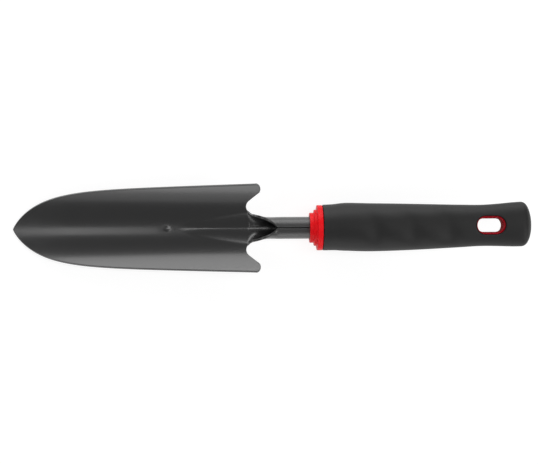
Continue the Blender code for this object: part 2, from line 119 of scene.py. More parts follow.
# Grip: half width and half height, at places behind the collar's front and ahead of the butt's end
HANDLE_LENGTH = 138.7 * MM
FRONT_PROFILE = [
    (0 * MM, 14.12 * MM, 14.1 * MM),
    (14 * MM, 14.25 * MM, 14.1 * MM),
    (22 * MM, 14.85 * MM, 14.3 * MM),
    (40 * MM, 14.9 * MM, 14.2 * MM),
    (65 * MM, 14.3 * MM, 13.0 * MM),
]
BUTT_PROFILE = [
    (44.7 * MM, 13.25 * MM, 10.6 * MM),
    (31.7 * MM, 12.85 * MM, 9.5 * MM),
    (20.7 * MM, 13.25 * MM, 9.1 * MM),
    (10.7 * MM, 13.85 * MM, 9.3 * MM),
    (0 * MM, 13.95 * MM, 9.3 * MM),
]
GRIP_WALL = 2.2 * MM
GRIP_EDGE_ROUND = 0.4 * MM
GAP = 0.3 * MM
# How square its section is: 2 is an ellipse
GRIP_SQUARENESS_FRONT = 2.0
GRIP_SQUARENESS_BUTT = 2.4
# The butt's dome, and the powers that close its section
BUTT_DOME = 7.2 * MM
BUTT_ROUND = 2.7
BUTT_POWER = 0.62
# How the handle's centre line wanders from the shank's axis
SHOULDER_SWAY = 0.45 * MM
SHOULDER_PLACE = 22 * MM
SHOULDER_LENGTH = 10 * MM
BUTT_SWAY = 1.8 * MM
BUTT_LEAN = 0.95 * MM
BUTT_DROP = 1.5 * MM

# Finger grooves across the top and the underside of the grip, which fade out at its sides
FINGER_FIRST = 39.5 * MM
FINGER_PITCH = 22.7 * MM
FINGER_COUNT = 3
FINGER_DEPTH = 1.3 * MM
FINGER_LENGTH = 11 * MM
FINGER_SLANT = math.radians(20)
FINGER_FADE = 1.5

# Hanging slot: its opening in the grip, and the core's lining with a throat half way down
SLOT_AHEAD_OF_BUTT = 26.4 * MM
SLOT_LENGTH = 18.6 * MM
SLOT_WIDTH = 11.7 * MM
THROAT_LENGTH = 16.4 * MM
THROAT_WIDTH = 8.3 * MM
THROAT_HEIGHT = 5 * MM
LINING_RECESS = 1.2 * MM
LINING_LAND = 0.4 * MM
LINING_FLANGE = 1.4 * MM
FLANGE_HEIGHT = 10 * MM
LIP_ROUND = 0.8 * MM
LINING_ROUND = 0.15 * MM

# Fineness of the blade's mesh: columns out from its middle line, then rows from tip to tang
NECK_COLUMNS = 18
NECK_FINE_STEPS = 12
NOTCH_COLUMNS = 10
WING_COLUMNS = 11
NOSE_ROWS = 26
FRONT_ROWS = 32
NIB_ROWS = 20
REAR_ROWS = 40
EAR_ROWS = 15
EAR_ARC_ROWS = 3
NOTCH_ROWS = 5
NECK_ROWS = 26
SHANK_ROWS = 30
PRESSED_ROWS = 10
TANG_END_ROWS = 6

# How the blade's rows fan out at the nose and crowd at its rim
NOSE_END = 40 * MM
NOSE_CROWDING = 1.5
TIP_FAN = 2.5 * MM
TIP_FAN_REACH = 6 * MM
RIM_STEP = 0.4 * MM
RIM_STEP_SHARE = 0.4
SLOPE_STEP = 0.1 * MM

# Angles on the notch's arc, in degrees, where the neck's row, the ear and the neck's side begin
NECK_ANGLE = 225
EAR_ANGLE = 135
NECK_SIDE_ANGLE = 270

# Fineness of the handle's meshes
GRIP_POINTS = 112
GRIP_SPACING = 1.2 * MM
DOME_ROWS = 14
CORE_ROWS = 16
SLOT_POINTS = 96
LIP_ANGLES = range(0, 91, 15)

# How the grip's mesh is bent round the slot: a margin, and the block of its faces that is opened
SLOT_MARGIN = 2.4 * MM
SLOT_OUTER_RIM = 0.66
SLOT_INNER_RIM = 0.5
MARGIN_CORNER = math.radians(50)
BLOCK_SHARE = 0.11
BLOCK_SPREAD = 6
# A corner nearer than this to the slot's edge counts as on it
ON_EDGE = 0.01 * MM

# Corners closer than the first are merged, and edges shorter than the second are dissolved
MERGE_DISTANCE = 0.002 * MM
SLIVER_LENGTH = 0.001 * MM

# Powder coat: roughness of its body and of its glossy skin, where fresh and where rubbed
BODY_ROUGHNESS = (0.28, 0.85)
SKIN_ROUGHNESS = (0.17, 0.7)
# Where the rubbing starts and where it is full, along X, and how far it goes
NOSE_WEAR = (-125 * MM, -157 * MM)
NOSE_DULLNESS = 0.3
SHANK_WEAR = (-13 * MM, 3 * MM)
SHANK_DULLNESS = 0.36

# Lamps: name, place, the point each faces, its size across and up, and its level
FILL_TARGET = (-0.02, 0, 0.01)
LAMPS = [
    ("far_box_low", (-0.15, 1.1, 0.18), (-0.15, 0, 0.18), (2.0, 0.34), 2.85),
    ("far_box_high", (-0.15, 1.1, 0.62), (-0.15, 0, 0.62), (2.0, 0.52), 2.5),
    ("near_box_low", (-0.5, -1.1, 0.24), (-0.5, 0, 0.24), (1.6, 0.46), 1.95),
    ("near_box_high", (-0.5, -1.1, 0.67), (-0.5, 0, 0.67), (1.6, 0.38), 0.6),
    ("strip", (0.61, 0.12, 1.6), (0.61, 0.12, 0), (1.38, 0.4), 2.5),
    ("ceiling", (-0.45, 0.1, 1.7), (-0.45, 0.1, 0), (0.4, 0.5), 0.5),
    ("butt_fill", (1.1, -0.7, 0.9), FILL_TARGET, (0.8, 0.8), 3.4),
    ("tip_fill", (-1.3, 0, 0.9), FILL_TARGET, (0.8, 0.8), 1.2),
]
WORLD_LEVEL = 0.24

# Table: its side, how far it lies below the tool, how it glows to the camera, and its paint
FLOOR_SIDE = 12.0
FLOOR_DROP = 0.05 * MM
FLOOR_GLOW = 0.8
FLOOR_PAINT = 0.32

# Camera: in the tool frame, tipped towards the blade's end
CAMERA_DISTANCE = 1.2
CAMERA_TILT = math.radians(2.9)
CAMERA_ROLL = math.radians(0.35)
CAMERA_AIM = (-25.0 * MM, -2.47 * MM, 0)
SENSOR_WIDTH = 36
PICTURE_WIDTH = 538
MM_PER_PIXEL = 0.6184

# Places that follow from the sizes above, along the tool
SHEET_RADIUS = (SHANK_DIAMETER - SHEET) / 2
SEAM_X = -SHANK_LENGTH
NOTCH_X = SEAM_X - NECK_LENGTH
EAR_X = NOTCH_X + NOTCH_DEPTH
TIP_X = EAR_X - BLADE_LENGTH
GROOVE_X = NOTCH_X - GROOVE_LENGTH
NIB_X = GROOVE_X - NIB_AHEAD
SLOT_PLACE = HANDLE_LENGTH - SLOT_AHEAD_OF_BUTT
GRIP_PROFILE = FRONT_PROFILE + [
    (HANDLE_LENGTH - ahead, half_width, half_height) for ahead, half_width, half_height in BUTT_PROFILE]
COLLAR_LENGTH = sum(length for length, radius in COLLAR_STEPS)
HALF_TURN = math.pi - SEAM_GAP / (2 * SHEET_RADIUS)


def tool_frame():
    """The tool frame of the shapes below, found from the collar's mount in the record.

    X runs along the shank towards the butt from the collar's front face, and Z is up out of the scoop.
    """
    mount = next(m for m in frame["record"]["mounts"] if m["name"] == "collar_face")
    along = -Vector(mount["axis"]).normalized()
    side = Vector((0, 1, 0))
    up = along.cross(side)
    ring_middle = (SHANK_DIAMETER / 2 + GAP + COLLAR_STEPS[0][1]) / 2
    origin = Vector(mount["pos_m"]) - up * ring_middle
    turn = Matrix((along, side, up)).transposed()
    return Matrix.Translation(origin) @ turn.to_4x4()


TOOL = tool_frame()


def soft_floor(value, softness):
    """The value where it is above zero, else zero, with a rounded corner between them."""
    return (value + math.sqrt(value * value + softness * softness)) / 2


def ease(start, end, place):
    """Rises from 0 at start to 1 at end, level at both."""
    share = min(max((place - start) / (end - start), 0), 1)
    return share * share * (3 - 2 * share)


def blade_half_width(x):
    """Half the plan width of the blade: a full nose, then sides that widen slowly."""
    behind_tip = max(x - TIP_X, 0)
    fill = (1 - math.exp(-behind_tip / NOSE_LENGTH)) ** NOSE_POWER
    width = NOSE_WIDTH + (BLADE_WIDTH - NOSE_WIDTH) * behind_tip / BLADE_LENGTH
    return fill * width / 2


def groove_depth_at(x, y):
    """How far the groove sinks below the trough, less the height of the nib ahead of it."""
    run = max((x - GROOVE_X) / GROOVE_LENGTH, 0)
    half_width = max(GROOVE_HALF_WIDTH * min(run, 1) ** GROOVE_SPREAD, GROOVE_LEAST_HALF_WIDTH)
    deepest = GROOVE_DEPTH * (1 - math.exp(-(run / GROOVE_ONSET) ** GROOVE_NOSE))
    out = y / half_width
    vee = math.sqrt(out * out + GROOVE_CREASE ** 2) - GROOVE_CREASE
    across = soft_floor(1 - GROOVE_VEE * vee - (1 - GROOVE_VEE) * out * out, GROOVE_SOFTNESS)
    along_nib = (x - NIB_X) / (NIB_LENGTH / 2)
    across_nib = y / (NIB_WIDTH / 2)
    nib = NIB_HEIGHT * math.exp(-along_nib ** 2 - across_nib ** 2)
    foot = NIB_FOOT * math.exp(-(along_nib / NIB_FOOT_SPREAD_ALONG) ** 2
                               - (across_nib / NIB_FOOT_SPREAD_ACROSS) ** 2)
    return deepest * across - nib - foot


def blade_height(x, y):
    """Height of the middle of the sheet on the blade: a swept trough with the groove in it."""
    toward_tip = (EAR_X - x) / BLADE_LENGTH
    radius = TROUGH_RADIUS_REAR + (TROUGH_RADIUS_TIP - TROUGH_RADIUS_REAR) * toward_tip
    trough = y * y / (2 * radius)
    ahead = soft_floor(NIB_X - x, SWEEP_SOFTNESS)
    sweep = SWEEP_SLOPE * ahead + ahead ** 2 / (2 * SWEEP_RADIUS)
    return BLADE_RISE + sweep + trough - groove_depth_at(x, y)


def neck_edge(x):
    """Plan distance of the neck's free edge, before it is rolled: the notch, then straight."""
    reach = min(x - NOTCH_X - NOTCH_RADIUS, 0)
    return NECK_HALF_WIDTH + NOTCH_RADIUS - math.sqrt(NOTCH_RADIUS ** 2 - reach * reach)


def rolled_section(x):
    """Points of half a section of the neck, which rolls the blade's own section up into a tube."""
    start = NOTCH_X + NECK_DELAY
    run = min(max((x - start) / (SEAM_X - start), 0), 1)
    late = ease(NECK_EASE_FROM, NECK_EASE_TO, run)
    rolled = run ** (NECK_EASE_FIRST + (NECK_EASE_LAST - NECK_EASE_FIRST) * late)
    filled = (ease(0, NECK_FILL_LAST, rolled) / ease(0, NECK_FILL_LAST, 1)) ** NECK_FILL_POWER
    fine = np.linspace(0, 1, NECK_COLUMNS * NECK_FINE_STEPS + 1)
    flat_y = fine * neck_edge(x)
    flat_z = np.array([blade_height(x, y) for y in flat_y])
    slope = np.arctan2(np.gradient(flat_z), np.gradient(flat_y))
    stretch = np.hypot(np.gradient(flat_z, fine), np.gradient(flat_y, fine))
    slope = (1 - rolled) * slope + rolled * HALF_TURN * fine
    stretch = (1 - filled) * stretch + filled * HALF_TURN * SHEET_RADIUS
    steps = np.stack([stretch * np.cos(slope), stretch * np.sin(slope)])
    middles = (steps[:, 1:] + steps[:, :-1]) / 2 * (fine[1] - fine[0])
    curve = np.concatenate([np.zeros((2, 1)), np.cumsum(middles, axis=1)], axis=1)
    bottom = (1 - rolled) * flat_z[0] - rolled * SHEET_RADIUS
    return [(y, bottom + z) for y, z in curve[:, ::NECK_FINE_STEPS].T]


def tang_half_sizes(x):
    """Half width and half height of the shank's middle line: round, then pressed to an oval."""
    pressed = ease(TANG_ROUND, TANG_ROUND + TANG_FLATTENING, x)
    width = SHEET_RADIUS + (TANG_HALF_WIDTH - SHEET_RADIUS) * pressed
    height = SHEET_RADIUS + (TANG_HALF_HEIGHT - SHEET_RADIUS) * pressed
    return width, height


def tube_section(x):
    """Points of half a section of the shank and the tang, from the bottom to the seam."""
    width, height = tang_half_sizes(x)
    return [(width * math.sin(HALF_TURN * share), -height * math.cos(HALF_TURN * share))
            for share in np.linspace(0, 1, NECK_COLUMNS + 1)]


def stretches(*parts):
    """Joins stretches of (start, end, steps) into one rising list of places."""
    places = [parts[0][0]]
    for start, end, steps in parts:
        places += [start + (end - start) * (step + 1) / steps for step in range(steps)]
    return places


def grid(mesh, rows, columns, place):
    """Adds a grid of faces with its corners moved to place(row, column). Returns its corners."""
    made = bmesh.ops.create_grid(mesh, x_segments=rows, y_segments=columns, size=0.5)
    corners = {}
    for vert in made["verts"]:
        corners[round((vert.co.x + 0.5) * rows), round((vert.co.y + 0.5) * columns)] = vert
    for (row, column), vert in corners.items():
        vert.co = place(row, column)
    return corners


def add_piece(mesh, name, material, replaced):
    """Turns a mesh in the tool frame into a finished piece that stands for a CAD node."""
    bmesh.ops.remove_doubles(mesh, verts=mesh.verts, dist=MERGE_DISTANCE)
    bmesh.ops.dissolve_degenerate(mesh, edges=mesh.edges, dist=SLIVER_LENGTH)
    bmesh.ops.recalc_face_normals(mesh, faces=mesh.faces)
    bmesh.ops.transform(mesh, matrix=TOOL, verts=mesh.verts)
    data = bpy.data.meshes.new(name)
    mesh.to_mesh(data)
    mesh.free()
    data.shade_smooth()
    data.materials.append(material)
    piece = bpy.data.objects.new(name, data)
    bpy.context.scene.collection.objects.link(piece)
    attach(piece, "root")
    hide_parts(replaced)
    return piece


def modifier(piece, kind, **settings):
    """Adds one modifier with its settings."""
    step = piece.modifiers.new(kind.lower(), kind)
    for name, value in settings.items():
        setattr(step, name, value)


def round_edges(piece, radius, segments, angle):
    """Rounds every edge sharper than the angle, and keeps the faces beside them flat to the eye."""
    modifier(piece, "BEVEL", width=radius, segments=segments, limit_method="ANGLE",
             angle_limit=math.radians(angle), use_clamp_overlap=False, harden_normals=True)


def notch_arc(angle):
    """Plan point on the notch's arc. It bottoms out at 180 degrees."""
    turn = math.radians(angle)
    return Vector((NOTCH_X + NOTCH_RADIUS * (1 + math.cos(turn)),
                   NECK_HALF_WIDTH + NOTCH_RADIUS * (1 + math.sin(turn))))


def last_body_row():
    """Plan points, from the middle out, of the row that ends at the notch's bottom."""
    neck, ear = notch_arc(NECK_ANGLE), notch_arc(EAR_ANGLE)
    points = [Vector((neck.x, neck.y * share)) for share in np.linspace(0, 1, NECK_COLUMNS + 1)]
    points += [notch_arc(angle)
               for angle in np.linspace(NECK_ANGLE, EAR_ANGLE, NOTCH_COLUMNS + 1)[1:]]
    side = blade_half_width(ear.x)
    points += [Vector((ear.x, ear.y + (side - ear.y) * share))
               for share in np.linspace(0, 1, WING_COLUMNS + 1)[1:]]
    return points


def ear_outline():
    """Plan points of the ear: its inner edge from the notch, and its rounded end."""
    notch = Vector((NOTCH_X + NOTCH_RADIUS, NECK_HALF_WIDTH + NOTCH_RADIUS))
    end = Vector((EAR_X - EAR_RADIUS, blade_half_width(EAR_X) - EAR_RADIUS))
    span = end - notch
    edge_angle = math.atan2(span.y, span.x) - math.asin((NOTCH_RADIUS + EAR_RADIUS) / span.length)
    outward = Vector((math.sin(edge_angle), -math.cos(edge_angle)))
    last_angle = math.degrees(edge_angle) + 90
    inner = [notch_arc(angle) for angle in np.linspace(EAR_ANGLE, last_angle, EAR_ARC_ROWS + 1)]
    line_end = end + EAR_RADIUS * outward
    inner += [inner[EAR_ARC_ROWS].lerp(line_end, share)
              for share in np.linspace(0, 1, EAR_ROWS - EAR_ARC_ROWS + 1)[1:]]
    round_end = [end + EAR_RADIUS * Vector((math.cos(a), math.sin(a)))
                 for a in np.linspace(edge_angle - math.pi / 2, math.pi / 2, WING_COLUMNS + 1)]
    return inner, round_end


def body_point(outline_x, share, dip):
    """Plan point of the body, on a line that runs square to the outline and back to the middle."""
    half_width = blade_half_width(outline_x)
    rise = (blade_half_width(outline_x + SLOPE_STEP) - half_width) / SLOPE_STEP
    fan = TIP_FAN * math.exp(-(outline_x - TIP_X) / TIP_FAN_REACH)
    middle_x = outline_x + half_width * rise + fan
    line = math.hypot(middle_x - outline_x, half_width)
    first = 1 - 1 / WING_COLUMNS * RIM_STEP_SHARE
    power = min(1, math.log(RIM_STEP / line) / math.log(1 - first)) if line > RIM_STEP else 1
    share = 1 - (1 - share) ** power
    x = middle_x + (outline_x - middle_x) * share
    return Vector((x + dip * math.exp(-(NOTCH_X - outline_x) / NOTCH_RADIUS), half_width * share))


def make_blade(material):
    """The pressed sheet, from the tip through the neck to the tang inside the handle."""
    last_row = last_body_row()
    columns = len(last_row) - 1
    ear_column = NECK_COLUMNS + NOTCH_COLUMNS
    outlines = [TIP_X + NOSE_END * (row / NOSE_ROWS) ** NOSE_CROWDING for row in range(NOSE_ROWS)]
    outlines += stretches(
        (TIP_X + NOSE_END, NIB_X - NIB_LENGTH, FRONT_ROWS),
        (NIB_X - NIB_LENGTH, NIB_X + NIB_LENGTH, NIB_ROWS),
        (NIB_X + NIB_LENGTH, last_row[0].x, REAR_ROWS))
    body_rows = len(outlines) - 1
    neck_places = [notch_arc(angle).x
                   for angle in np.linspace(NECK_ANGLE, NECK_SIDE_ANGLE, NOTCH_ROWS + 1)[1:]]
    neck_places += stretches((neck_places[-1], SEAM_X, NECK_ROWS))[1:]
    pressed_x = TANG_ROUND + TANG_FLATTENING
    tube_places = stretches(
        (SEAM_X, TANG_ROUND, SHANK_ROWS),
        (TANG_ROUND, pressed_x, PRESSED_ROWS),
        (pressed_x, TANG_LENGTH, TANG_END_ROWS))[1:]
    sections = [rolled_section(x) for x in neck_places] + [tube_section(x) for x in tube_places]
    section_places = neck_places + tube_places
    inner, round_end = ear_outline()
    side = last_row[-1].y
    shares = [point.y / side for point in last_row]
    dips = [point.x - last_row[0].x for point in last_row]

    def ear_point(step, column):
        """Plan point of the ear: from its inner edge to its side, bent to its rounded end."""
        wing = (column - ear_column) / WING_COLUMNS
        back = step / EAR_ROWS
        side_x = last_row[-1].x + (round_end[-1].x - last_row[-1].x) * back
        outer = Vector((side_x, blade_half_width(side_x) if step < EAR_ROWS else round_end[-1].y))
        bend = round_end[column - ear_column] - inner[-1].lerp(round_end[-1], wing)
        return inner[step].lerp(outer, wing) + bend * back * back

    def place(row, column):
        """Point of the whole sheet, whose rows run on from the body into the neck and the ears."""
        hand = 1 if column >= columns else -1
        column = abs(column - columns)
        if row < body_rows:
            point = body_point(outlines[row], shares[column], dips[column])
        elif row == body_rows:
            point = last_row[column]
        elif column <= NECK_COLUMNS:
            y, z = sections[row - body_rows - 1][column]
            return Vector((section_places[row - body_rows - 1], hand * y, z))
        else:
            point = ear_point(min(row - body_rows, EAR_ROWS), max(column, ear_column))
        return Vector((point.x, hand * point.y, blade_height(point.x, point.y)))

    mesh = bmesh.new()
    corners = grid(mesh, body_rows + len(sections), 2 * columns, place)
    index = {vert: key for key, vert in corners.items()}
    cut = []
    for face in mesh.faces:
        rows = [index[vert][0] for vert in face.verts]
        outs = [abs(index[vert][1] - columns) for vert in face.verts]
        in_notch = min(rows) >= body_rows and NECK_COLUMNS <= min(outs) < ear_column
        behind_ear = min(rows) >= body_rows + EAR_ROWS and min(outs) >= ear_column
        if in_notch or behind_ear:
            cut.append(face)
    bmesh.ops.delete(mesh, geom=cut, context="FACES")
    blade = add_piece(mesh, "pressed_blade", material, "blade")
    modifier(blade, "SOLIDIFY", thickness=SHEET, offset=0,
             use_even_offset=True, use_quality_normals=True)
    round_edges(blade, RIM_ROUND, segments=3, angle=50)


def smooth_profile(x, item):
    """Half width (item 1) or half height (item 2) of the grip, on a smooth curve through its profile."""
    count = len(GRIP_PROFILE)
    here = max(i for i in range(count - 1) if x >= GRIP_PROFILE[i][0] or i == 0)

    def tangent(i):
        """Slope of the profile at one of its places."""
        before = GRIP_PROFILE[max(i - 1, 0)]
        after = GRIP_PROFILE[min(i + 1, count - 1)]
        return (after[item] - before[item]) / (after[0] - before[0])

    start, end = GRIP_PROFILE[here], GRIP_PROFILE[here + 1]
    span = end[0] - start[0]
    t = min(max((x - start[0]) / span, 0), 1)
    return (start[item] * (1 + 2 * t) * (1 - t) ** 2 + end[item] * t * t * (3 - 2 * t)
            + span * tangent(here) * t * (1 - t) ** 2 - span * tangent(here + 1) * t * t * (1 - t))


def handle_centre(x):
    """The handle's centre line: it sways at the shoulder and the butt, and drops towards the butt."""
    share = max(x, 0) / HANDLE_LENGTH
    in_dome = max(x - HANDLE_LENGTH + BUTT_DOME, 0) / BUTT_DOME
    shoulder = SHOULDER_SWAY * math.exp(-((x - SHOULDER_PLACE) / SHOULDER_LENGTH) ** 2)
    sway = shoulder + BUTT_SWAY * share ** 3 - BUTT_LEAN * in_dome ** 2
    return Vector((x, sway, -BUTT_DROP * share ** 2))


def grip_section(x, inset=0):
    """Half width, half height and squareness of the grip's section, closing over the butt's dome."""
    dome_start = HANDLE_LENGTH - BUTT_DOME
    beyond = max(x - dome_start, 0) / (BUTT_DOME - inset)
    shrink = max(1 - beyond ** BUTT_ROUND, 0) ** BUTT_POWER
    toward_butt = x / HANDLE_LENGTH
    squareness = GRIP_SQUARENESS_FRONT + (GRIP_SQUARENESS_BUTT - GRIP_SQUARENESS_FRONT) * toward_butt
    half_width, half_height = (smooth_profile(x, item) - inset for item in (1, 2))
    return half_width * shrink, half_height * shrink, squareness


def finger_dip(x, y):
    """Depth of the finger grooves, which run across the handle on a slant."""
    dips = 0
    for finger in range(FINGER_COUNT):
        offset = x - FINGER_FIRST - finger * FINGER_PITCH + y * math.tan(FINGER_SLANT)
        dips += math.exp(-(offset / (FINGER_LENGTH / 2)) ** 2)
    return FINGER_DEPTH * dips


def ring(x, half_width, half_height, squareness, fingers=False):
    """Points of one rounded section of the handle."""
    points = []
    for step in range(GRIP_POINTS):
        angle = 2 * math.pi * step / GRIP_POINTS
        across, up = math.cos(angle), math.sin(angle)
        y = half_width * math.copysign(abs(across) ** (2 / squareness), across)
        z = half_height * math.copysign(abs(up) ** (2 / squareness), up)
        if fingers:
            z -= math.copysign(finger_dip(x, y) * abs(up) ** FINGER_FADE, up)
        points.append(handle_centre(x) + Vector((0, y, z)))
    return points


def slot_distance(point):
    """How far a point lies, in plan, outside the slot's edge, and the edge's nearest point."""
    centre = handle_centre(SLOT_PLACE)
    radius = SLOT_WIDTH / 2
    reach = (SLOT_LENGTH - SLOT_WIDTH) / 2
    spine = Vector((min(max(point.x, centre.x - reach), centre.x + reach), centre.y))
    away = point.xy - spine
    return away.length - radius, spine + away.normalized() * radius


def grip_height(x, y, side, inset=0):
    """Height of the grip's top (side 1) or underside (side -1) at a plan point."""
    half_width, half_height, squareness = grip_section(x, inset)
    centre = handle_centre(x)
    across = min(abs(y - centre.y) / half_width, 1)
    height = half_height * (1 - across ** squareness) ** (1 / squareness)
    up = (height / half_height) ** (squareness / 2)
    return centre.z + side * (height - finger_dip(x, y - centre.y) * up ** FINGER_FADE)


def margin_point(along, across):
    """Plan point on a ring round the slot, from a place (-1 to 1 each way) on a square's edge."""
    centre = handle_centre(SLOT_PLACE).xy
    radius = SLOT_WIDTH / 2 + SLOT_MARGIN
    reach = (SLOT_LENGTH - SLOT_WIDTH) / 2
    if abs(along) == 1:
        angle = across * MARGIN_CORNER
        return centre + Vector((along * (reach + radius * math.cos(angle)), radius * math.sin(angle)))
    run = abs(along) * (reach + radius * (math.pi / 2 - MARGIN_CORNER))
    turn = max(run - reach, 0) / radius
    end = math.copysign(min(run, reach) + radius * math.sin(turn), along)
    return centre + Vector((end, across * radius * math.cos(turn)))


def grip_shell(mesh, inset, rims):
    """One skin of the grip, with the slot's openings turned in. Returns the openings' last edges."""
    front = COLLAR_LENGTH + GAP
    dome_start = HANDLE_LENGTH - BUTT_DOME
    dome = BUTT_DOME - inset
    places = stretches((front, dome_start, round((dome_start - front) / GRIP_SPACING)))
    places += [dome_start + dome * math.sin(math.pi / 2 * share)
               for share in np.linspace(0, 1, DOME_ROWS + 1)[1:-1]]
    rings = [ring(x, *grip_section(x, inset), fingers=True) for x in places]
    rings.append([handle_centre(dome_start + dome)] * GRIP_POINTS)
    inside = [row for row, x in enumerate(places)
              if abs(x - SLOT_PLACE) < SLOT_LENGTH / 2 + SLOT_MARGIN]
    middle_row, half_rows = (inside[0] + inside[-1]) / 2, (inside[-1] - inside[0]) / 2
    half_columns = round(GRIP_POINTS * BLOCK_SHARE)

    def nearest(row, column, side):
        """Steps from the slot's block on one side, and the nearest corner of the block."""
        middle_column = GRIP_POINTS * (2 - side) // 4
        down, over = row - middle_row, column - middle_column
        block_down = min(max(down, -half_rows), half_rows)
        block_over = min(max(over, -half_columns), half_columns)
        steps = max(abs(down - block_down), abs(over - block_over))
        return steps, block_down, block_over, round(middle_row + block_down), middle_column + block_over

    def place(row, column):
        """Point of the skin, pulled on to the slot's margin where it lies near the block."""
        point = rings[row][column % GRIP_POINTS]
        for side in (1, -1):
            steps, down, over, block_row, block_column = nearest(row, column, side)
            if steps < BLOCK_SPREAD and (abs(down) == half_rows or abs(over) == half_columns):
                target = margin_point(down / half_rows, -side * over / half_columns)
                pull = (1 - steps / BLOCK_SPREAD) ** 2
                plan = point.xy + (target - rings[block_row][block_column].xy) * pull
                return Vector((plan.x, plan.y, grip_height(plan.x, plan.y, side, inset)))
        return point

    corners = grid(mesh, len(rings) - 1, GRIP_POINTS, place)
    loops = []
    for side in (1, -1):
        block = {vert for (row, column), vert in corners.items() if nearest(row, column, side)[0] == 0}
        opened = [face for face in mesh.faces if block.issuperset(face.verts)]
        bmesh.ops.delete(mesh, geom=opened, context="FACES")
        edges = [edge for edge in mesh.edges if edge.is_boundary and block.issuperset(edge.verts)]
        for outside, depth in rims:
            grown = bmesh.ops.extrude_edge_only(mesh, edges=edges)["geom"]
            edges = [part for part in grown if isinstance(part, bmesh.types.BMEdge)]
            for vert in [part for part in grown if isinstance(part, bmesh.types.BMVert)]:
                distance, edge_point = slot_distance(vert.co)
                away = (vert.co.xy - edge_point).normalized()
                plan = edge_point + away * outside if distance > ON_EDGE else edge_point
                vert.co = (plan.x, plan.y, grip_height(plan.x, plan.y, side, inset) - side * depth)
        loops.append(edges)
    return loops


def make_grip(material):
    """The soft skin over the core: finger grooves, the domed butt and the slot's opening."""
    mesh = bmesh.new()
    lip = [(LIP_ROUND * (1 - math.sin(turn)), LIP_ROUND * (1 - math.cos(turn)))
           for turn in map(math.radians, LIP_ANGLES)]
    outer = grip_shell(mesh, 0, [(SLOT_MARGIN * SLOT_OUTER_RIM, 0)] + lip)
    inner = grip_shell(mesh, GRIP_WALL, [(SLOT_MARGIN * SLOT_INNER_RIM, 0), (0, 0)])
    for outer_edges, inner_edges in zip(outer, inner):
        bmesh.ops.bridge_loops(mesh, edges=outer_edges + inner_edges)
    bmesh.ops.remove_doubles(mesh, verts=mesh.verts, dist=MERGE_DISTANCE)
    bmesh.ops.bridge_loops(mesh, edges=[edge for edge in mesh.edges if edge.is_boundary])
    grip = add_piece(mesh, "soft_grip", material, "grip")
    round_edges(grip, GRIP_EDGE_ROUND, segments=3, angle=60)


def make_core(material):
    """The hard core: stepped collar, body under the grip, and the bore that holds the tang."""
    turns = [2 * math.pi * step / GRIP_POINTS for step in range(GRIP_POINTS)]
    clear = SHEET / 2 + GAP
    bore_end = TANG_LENGTH + GAP
    rings = [[Vector((bore_end, 0, 0))] * GRIP_POINTS]
    pressing = [TANG_ROUND + TANG_FLATTENING * share for share in (1, 0.5, 0)]
    for x in (bore_end, *pressing, 0):
        width, height = tang_half_sizes(x)
        rings.append([Vector((x, (width + clear) * math.cos(a), (height + clear) * math.sin(a)))
                      for a in turns])
    x = 0
    for length, radius in COLLAR_STEPS:
        for end in (x, x + length):
            rings.append([Vector((end, radius * math.cos(a), radius * math.sin(a))) for a in turns])
        x += length
    body_end = SLOT_PLACE - SLOT_LENGTH / 2 - 2 * GAP
    for place in stretches((x, body_end, CORE_ROWS)):
        half_width, half_height, squareness = grip_section(place)
        inset = GRIP_WALL + GAP + FINGER_DEPTH
        rings.append(ring(place, half_width - inset, half_height - inset, squareness))
    rings.append([handle_centre(body_end)] * GRIP_POINTS)
    mesh = bmesh.new()
    grid(mesh, len(rings) - 1, GRIP_POINTS, lambda row, column: rings[row][column % GRIP_POINTS])
    core = add_piece(mesh, "core_and_collar", material, "handle_core")
    round_edges(core, STEP_ROUND, segments=4, angle=50)


def stadium(length, width):
    """Plan points of a ring round the slot: two half circles joined by straight sides."""
    radius = width / 2
    reach = (length - width) / 2
    centre = handle_centre(SLOT_PLACE).xy
    half = SLOT_POINTS // 2
    points = []
    for end, angles in ((1, np.linspace(-90, 90, half)), (-1, np.linspace(90, 270, half))):
        for angle in angles:
            turn = math.radians(angle)
            out = Vector((math.cos(turn), math.sin(turn)))
            points.append(centre + Vector((end * reach, 0)) + radius * out)
    return points


def make_lining(material):
    """The core's wall round the slot: waisted half way down, with a flange between the grip's skins."""
    outer = (SLOT_LENGTH - 2 * GAP, SLOT_WIDTH - 2 * GAP)
    rim = (outer[0] - 2 * LINING_LAND, outer[1] - 2 * LINING_LAND)
    throat = (THROAT_LENGTH, THROAT_WIDTH)
    flange = (SLOT_LENGTH + 2 * LINING_FLANGE, SLOT_WIDTH + 2 * LINING_FLANGE)
    centre_z = handle_centre(SLOT_PLACE).z
    rings = []
    for size, side, level in (
            (outer, 1, None), (rim, 1, None), (throat, 1, THROAT_HEIGHT / 2),
            (throat, -1, THROAT_HEIGHT / 2), (rim, -1, None), (outer, -1, None),
            (outer, -1, FLANGE_HEIGHT / 2), (flange, -1, FLANGE_HEIGHT / 2),
            (flange, 1, FLANGE_HEIGHT / 2), (outer, 1, FLANGE_HEIGHT / 2), (outer, 1, None)):
        points = []
        for plan in stadium(*size):
            z = centre_z + side * level if level else (
                grip_height(plan.x, plan.y, side) - side * LINING_RECESS)
            points.append(Vector((plan.x, plan.y, z)))
        rings.append(points)
    mesh = bmesh.new()
    grid(mesh, len(rings) - 1, SLOT_POINTS, lambda row, column: rings[row][column % SLOT_POINTS])
    lining = add_piece(mesh, "slot_lining", material, "handle_core")
    round_edges(lining, LINING_ROUND, segments=3, angle=25)


def linear(colour):
    """An sRGB hex colour as linear RGBA."""
    values = [int(colour[i:i + 2], 16) / 255 for i in (1, 3, 5)]
    return (*[v / 12.92 if v <= 0.04045 else ((v + 0.055) / 1.055) ** 2.4 for v in values], 1)


